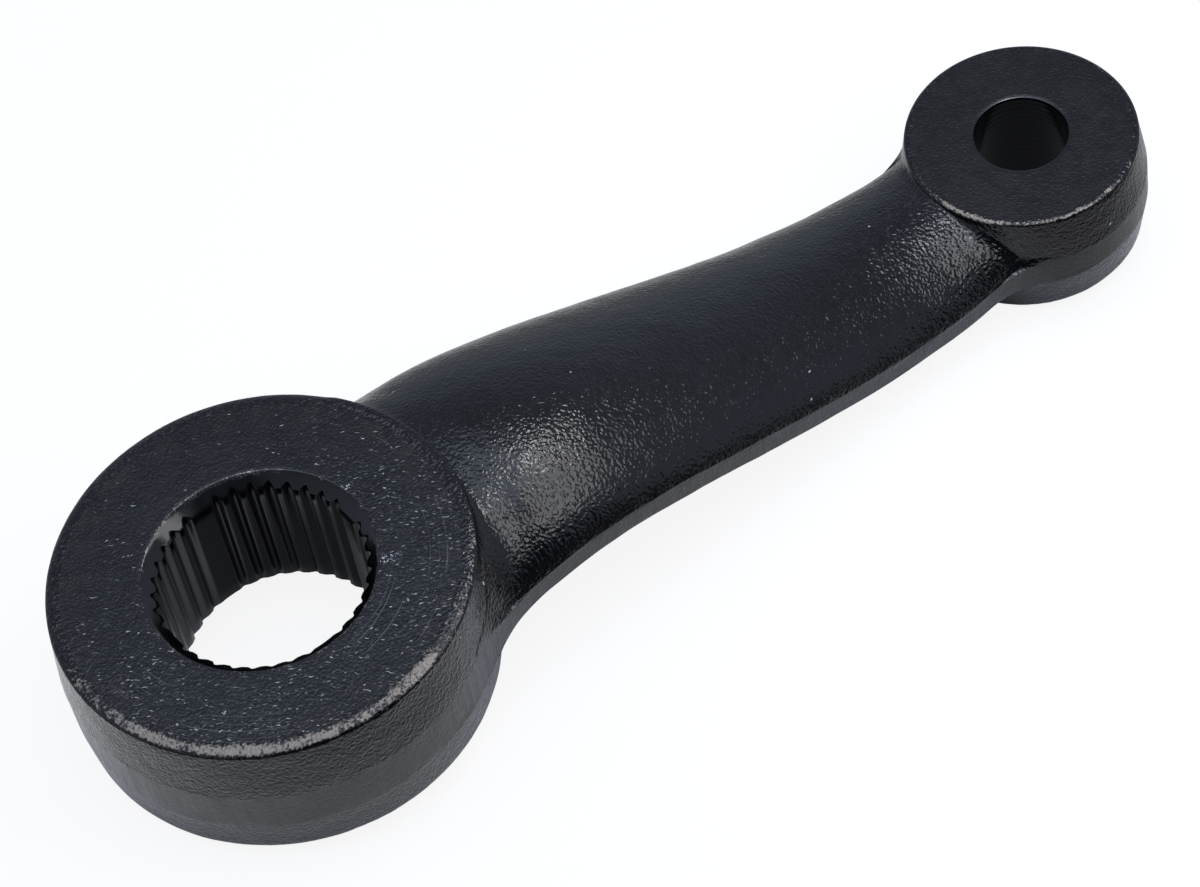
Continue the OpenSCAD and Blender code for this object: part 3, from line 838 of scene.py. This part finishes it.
def makeBroachedPaint():
    material, tree, shader, point, wearSheenMask = startMaterial("broachedPaint")
    p = broachedPaint
    upright = stretch(tree, point, (1.0, 1.0, p["broachStretch"]))
    marks = noiseAt(tree, upright, 4.0, 2.0, 0.6)
    worn = useGroup(tree, "wear", {"Point": point, "Edge": wearSheenMask, "Amount": p["wear"], "Grain": 2.0})
    tone = noiseAt(tree, point, 0.3, 3.0, 0.6)
    colour = mixColour(tree, span(tree, tone, 0.3, 0.7), paint["black"], paint["thin"])
    tree.links.new(mixColour(tree, worn, colour, paint["bare"]), shader.inputs["Base Color"])
    tree.links.new(calc(tree, "MULTIPLY", worn, p["wornMetal"]), shader.inputs["Metallic"])
    tree.links.new(span(tree, tone, 0.3, 0.7, p["roughLow"], p["roughHigh"]), shader.inputs["Roughness"])
    bump(tree, shader, calc(tree, "MULTIPLY", marks, p["broach"]))
    return material


reamedPaint = {"roughLow": 0.14, "roughHigh": 0.24, "ring": 0.014}


def makeReamedPaint():
    material, tree, shader, point, _ = startMaterial("reamedPaint")
    p = reamedPaint
    rings = noiseAt(tree, stretch(tree, point, (0.02, 0.02, 1.0)), 3.0, 3.0, 0.6)
    tone = noiseAt(tree, point, 0.3, 3.0, 0.6)
    tree.links.new(mixColour(tree, tone, paint["black"], paint["thin"]), shader.inputs["Base Color"])
    tree.links.new(span(tree, tone, 0.3, 0.7, p["roughLow"], p["roughHigh"]), shader.inputs["Roughness"])
    bump(tree, shader, calc(tree, "MULTIPLY", rings, p["ring"]))
    return material


makers = (makeForgedPaint, makeFacedPaint, makeFlashPaint, makeBroachedPaint, makeReamedPaint)
for make in makers:
    forging.data.materials.append(make())
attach(forging, "root")
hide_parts("pitman_arm")
print("finishes:", len(forging.data.materials))

# the arm lies with the shaft boss and the eye boss on the floor, so the floor leans a little in this frame
floorPlane = {
    "size": 2.4, "clearance": 0.0002,                       # in metres
    "shade": 0.9, "glow": 0.88, "kept": 0.14,
    "mirrored": 0.90, "farFront": 0.06, "farBack": 0.5,     # painted glow seen only in reflections, beside it and further out
    "eyeShare": 0.68, "eyeEnd": (0.4, 0.8),                 # the same at the eye end
    "besideTint": (0.98, 1, 1.05, 1), "boreTint": (0.95, 1, 1.1, 1),
    "under": (-4.0, 8.0), "fade": (0.0, 75.0), "behind": (-10.0, 60.0),
    "farRight": 0.55, "right": (190.0, 290.0),
    # painted shade inside the bore and the hole, seen only in reflections
    "bore": (17.5, 22.0), "hole": (10.0, 13.0), "boreDark": 0.13, "holeDark": 0.09,
    "boreLit": 0.62, "litSide": (2.0, -14.0),               # a painted pool of light at the left of the bore, seen only in reflections
}


def buildFloor():
    shaftLow, eyeLow = shaftBoss["flat"][-1], eyeBoss["flat"][-1]
    start = Vector((shaftBoss["x"] - shaftLow, 0, shaftBoss["bottom"])) * mm
    stop = Vector((eyeBoss["x"] - eyeLow, 0, eyeBoss["bottom"])) * mm
    along = (stop - start).normalized()
    up = along.cross(Vector((0, 1, 0)))
    middle = (start + stop) / 2 - up * floorPlane["clearance"]
    half = floorPlane["size"] / 2
    signs = ((-1, -1), (1, -1), (1, 1), (-1, 1))
    corners = [middle + along * half * a + Vector((0, half * b, 0)) for a, b in signs]
    mesh = bpy.data.meshes.new("floor")
    mesh.from_pydata([list(c) for c in corners], [], [(0, 1, 2, 3)])
    floor = bpy.data.objects.new("floor", mesh)
    scene.collection.objects.link(floor)
    material = bpy.data.materials.new("floorPaper")
    material.use_nodes = True
    tree = material.node_tree
    tree.nodes.remove(tree.nodes["Principled BSDF"])
    shade = put(tree, "BsdfDiffuse", {"Color": (floorPlane["shade"],) * 3 + (1,)})
    kept = put(tree, "BsdfDiffuse", {"Color": (floorPlane["kept"],) * 3 + (1,)})
    glow = put(tree, "Emission", {"Color": (1, 1, 1, 1), "Strength": floorPlane["glow"]})
    paper = put(tree, "AddShader", {0: kept.outputs[0], 1: glow.outputs[0]})
    # in reflections the paper glows with painted light: dark under the part, bright beside it and dim further
    # out, with painted shade and a painted pool of light inside the bore
    place = put(tree, "SeparateXYZ", {0: put(tree, "NewGeometry").outputs["Position"]}).outputs
    x = calc(tree, "DIVIDE", place[0], mm)
    y = calc(tree, "DIVIDE", place[1], mm)
    share = put(tree, "Clamp", {0: calc(tree, "DIVIDE", x, armLength)}).outputs[0]

    def fromAxis(at):
        offset = calc(tree, "SUBTRACT", x, at)
        squares = calc(tree, "ADD", calc(tree, "POWER", offset, 2.0), calc(tree, "POWER", y, 2.0))
        return calc(tree, "SQRT", squares)

    reach = fromAxis(calc(tree, "MULTIPLY", share, armLength))
    narrowing = calc(tree, "MULTIPLY", share, eyeBoss["radius"] - shaftBoss["radius"])
    gap = calc(tree, "SUBTRACT", reach, calc(tree, "ADD", narrowing, shaftBoss["radius"]))
    near = span(tree, gap, *floorPlane["under"])
    front = span(tree, x, *floorPlane["right"], floorPlane["farFront"], floorPlane["farRight"])
    far = span(tree, y, *floorPlane["behind"], front, floorPlane["farBack"])
    level = span(tree, gap, *floorPlane["fade"], floorPlane["mirrored"], far)
    level = calc(tree, "MULTIPLY", level, span(tree, share, 0.0, 1.0, 1.0, floorPlane["eyeShare"]))
    beside = put(tree, "Emission", {"Color": floorPlane["besideTint"], "Strength": level})
    # painted shade inside the bore and the hole, lighter at the bore's left as a painted pool of light
    dark = span(tree, share, *floorPlane["eyeEnd"], floorPlane["boreDark"], floorPlane["holeDark"])
    lit = span(tree, x, *floorPlane["litSide"], dark, floorPlane["boreLit"])
    inBore = put(tree, "Emission", {"Color": floorPlane["boreTint"], "Strength": lit})
    clear = span(tree, fromAxis(0.0), *floorPlane["bore"])
    clear = calc(tree, "MULTIPLY", clear, span(tree, fromAxis(armLength), *floorPlane["hole"]))
    below = put(tree, "MixShader", {0: clear, 1: inBore.outputs[0], 2: shade.outputs[0]})
    mirrored = put(tree, "MixShader", {0: near, 1: below.outputs[0], 2: beside.outputs[0]})
    rays = put(tree, "LightPath").outputs
    reflected = calc(tree, "MAXIMUM", rays["Is Glossy Ray"], rays["Is Transmission Ray"])
    top = put(tree, "MixShader", {0: reflected, 1: shade.outputs[0], 2: mirrored.outputs[0]})
    top = put(tree, "MixShader", {0: rays["Is Camera Ray"], 1: top.outputs[0], 2: paper.outputs[0]})
    seeThrough = put(tree, "BsdfTransparent")
    behind = put(tree, "NewGeometry").outputs["Backfacing"]
    surface = put(tree, "MixShader", {0: behind, 1: top.outputs[0], 2: seeThrough.outputs[0]})
    tree.links.new(surface.outputs[0], tree.nodes["Material Output"].inputs["Surface"])
    mesh.materials.append(material)


buildFloor()
# both lamps hang close by and face the arm beside the shaft boss
softbox = {
    "azimuth": 47.0, "elevation": 43.0, "turn": 37.0, "distance": 0.32,
    "width": 0.275, "depth": 0.105, "radiance": 3.05,
}
softboxCore = {
    "azimuth": 91.0, "elevation": 56.0, "turn": 37.0, "distance": 0.24,
    "width": 0.047, "depth": 0.042, "radiance": 13.0,
}
aimAt = Vector((50, 0, 8)) * mm


# where something at this azimuth and elevation lies, and its turn when it looks back from there
def facing(azimuth, elevation, roll):
    a, e, t = math.radians(azimuth), math.radians(elevation), math.radians(roll)
    outward = Vector((math.sin(a) * math.cos(e), -math.cos(a) * math.cos(e), math.sin(e)))
    level = Vector((math.cos(a), math.sin(a), 0))
    right = math.cos(t) * level + math.sin(t) * outward.cross(level)
    return outward, Matrix((right, outward.cross(right), outward)).transposed().to_4x4()


def buildLamp(name, p):
    outward, turned = facing(p["azimuth"], p["elevation"], p["turn"])
    data = bpy.data.lights.new(name, "AREA")
    data.shape, data.size, data.size_y = "RECTANGLE", p["width"], p["depth"]
    data.energy = p["radiance"] * p["width"] * p["depth"] * math.pi
    lamp = bpy.data.objects.new(name, data)
    lamp.matrix_world = Matrix.Translation(aimAt + outward * p["distance"]) @ turned
    lamp.visible_camera = False
    scene.collection.objects.link(lamp)


buildLamp("softbox", softbox)
buildLamp("softboxCore", softboxCore)
studio = {
    "low": 0.46, "high": 0.29, "heights": (0.3, 0.8),
    "overhead": 1.5, "overheadFrom": 0.765, "overheadTo": 0.985,
    "unlit": 0.04, "unlitToward": (-0.26, -0.97),           # the dark room in front
    "unlitFront": (0.62, 0.74), "unlitHeight": (0.74, 0.56),
    "tint": (0.89, 1.0, 1.27, 1),
}


def buildWorld():
    world = bpy.data.worlds.new("studio")
    world.use_nodes = True
    tree = world.node_tree
    heading = put(tree, "SeparateXYZ", {0: put(tree, "TexCoord").outputs["Generated"]}).outputs
    height, toward = heading[2], studio["unlitToward"]
    front = calc(tree, "MULTIPLY_ADD", heading[1], toward[1], calc(tree, "MULTIPLY", heading[0], toward[0]))
    level = span(tree, height, *studio["heights"], studio["low"], studio["high"])
    unlit = calc(tree, "MULTIPLY", span(tree, front, *studio["unlitFront"]),
                 span(tree, height, *studio["unlitHeight"]))
    level = put(tree, "MapRange", {0: unlit, 1: 0.0, 2: 1.0, 3: level, 4: studio["unlit"]}).outputs[0]
    panel = span(tree, height, studio["overheadFrom"], studio["overheadTo"], 0.0, studio["overhead"])
    seen = put(tree, "LightPath").outputs["Is Camera Ray"]
    back = tree.nodes["Background"]
    tree.links.new(mixColour(tree, seen, studio["tint"], (1, 1, 1, 1)), back.inputs[0])
    tree.links.new(calc(tree, "MAXIMUM", calc(tree, "ADD", level, panel), seen), back.inputs[1])
    scene.world = world


buildWorld()
photoCamera = {
    "azimuth": -29.13, "elevation": 53.72, "roll": -11.80,
    "place": (-117.67, -317.31, 481.21), "lens": 120.0, "sensor": 36.0,
}


def buildCamera():
    p = photoCamera
    _, turned = facing(p["azimuth"], p["elevation"], p["roll"])
    camera = bpy.data.objects.new("camera", bpy.data.cameras.new("camera"))
    camera.data.lens, camera.data.sensor_width = p["lens"], p["sensor"]
    camera.data.clip_start, camera.data.clip_end = 0.01, 20
    camera.matrix_world = Matrix.Translation(Vector(p["place"]) * mm) @ turned
    scene.collection.objects.link(camera)
    scene.camera = camera


buildCamera()
print("stage: floor, two lamps, room and camera")
scene.view_settings.view_transform = "Standard"
